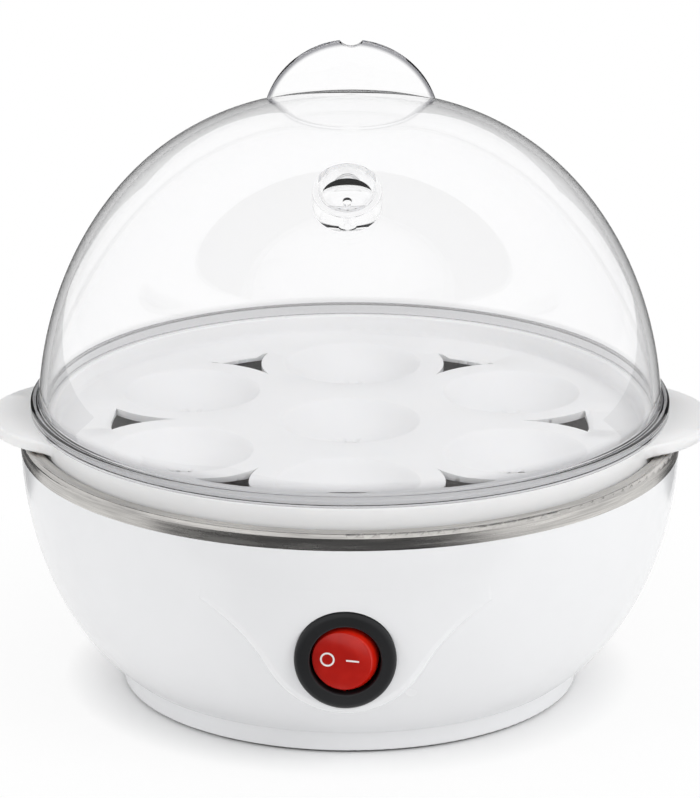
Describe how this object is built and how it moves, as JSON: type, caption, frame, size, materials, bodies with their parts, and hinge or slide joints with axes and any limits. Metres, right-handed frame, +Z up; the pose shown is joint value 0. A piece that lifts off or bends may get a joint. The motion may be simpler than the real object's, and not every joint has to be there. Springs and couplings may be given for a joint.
{
  "type": "electric egg cooker",
  "caption": "Round countertop electric egg cooker: white bowl base with rocker switch and steel band, lift-out tray of egg seats and a clear lift-off dome lid.",
  "frame": {"origin": "on the resting plane, under the middle of the round body", "axes": "+Z up; -Y is the front with the switch; +X runs through the tray's two ears, to the right as seen from the front"},
  "size_m": [0.1798, 0.1644, 0.1645],
  "materials": {
    "white_plastic": "smooth white moulding",
    "clear_plastic": "clear polished moulding",
    "band_steel": "brushed stainless steel",
    "pan_steel": "pressed stainless steel",
    "aluminium_plate": "plain aluminium",
    "sheath_steel": "heater sheath",
    "bead_ceramic": "white ceramic",
    "zinc_steel": "zinc-plated steel",
    "black_plastic": "black moulding",
    "contact_brass": "stamped brass",
    "grey_rubber": "soft rubber",
    "white_rubber": "white rubber",
    "lamp_glass": "small lamp glass",
    "red_plastic": "see-through red moulding",
    "brown_insulation": "wire insulation",
    "blue_insulation": "wire insulation",
    "white_insulation": "heat-proof sleeving",
    "cap_plastic": "closed-end crimp cap"
  },
  "bodies": {
    "base": {"base_shell": "white_plastic", "bottom_cover": "white_plastic", "trim_band": "band_steel", "heating_pan": "pan_steel", "heat_spreader": "aluminium_plate", "heating_element": "sheath_steel", "element_pins": "sheath_steel", "element_beads": "bead_ceramic", "pan_lugs": "zinc_steel", "lug_rivets": "aluminium_plate", "pan_screws": "zinc_steel", "thermostat_screws": "zinc_steel", "fuse_clip_screw": "zinc_steel", "earth_screw": "zinc_steel", "cover_screws": "zinc_steel", "thermostat_cap": "aluminium_plate", "thermostat_body": "black_plastic", "thermostat_blades": "contact_brass", "thermal_fuse": "zinc_steel", "fuse_clip": "zinc_steel", "earth_tab": "contact_brass", "rubber_feet": "grey_rubber", "switch_housing": "black_plastic", "switch_terminals": "contact_brass", "neon_lamp": "lamp_glass", "cord_gland": "white_rubber", "live_wire": "brown_insulation", "element_link": "white_insulation", "fuse_lead": "white_insulation", "neutral_wire": "blue_insulation", "lamp_wire": "blue_insulation", "crimp_cap": "cap_plastic"},
    "tray": {"egg_tray": "white_plastic"},
    "lid": {"lid_dome": "clear_plastic"},
    "rocker": {"rocker_button": "red_plastic"}
  },
  "joints": [
    {"name": "tray_lift", "type": "slide", "parent": "base", "child": "tray", "axis": [0, 0, 1], "range_m": [0, 0.06]},
    {"name": "lid_lift", "type": "slide", "parent": "tray", "child": "lid", "axis": [0, 0, 1], "range_m": [0, 0.09]},
    {"name": "rocker_tilt", "type": "hinge", "parent": "base", "child": "rocker", "pos_m": [0, -0.0771, 0.033], "axis": [0, 0, 1], "range_deg": [0, 24]}
  ]
}
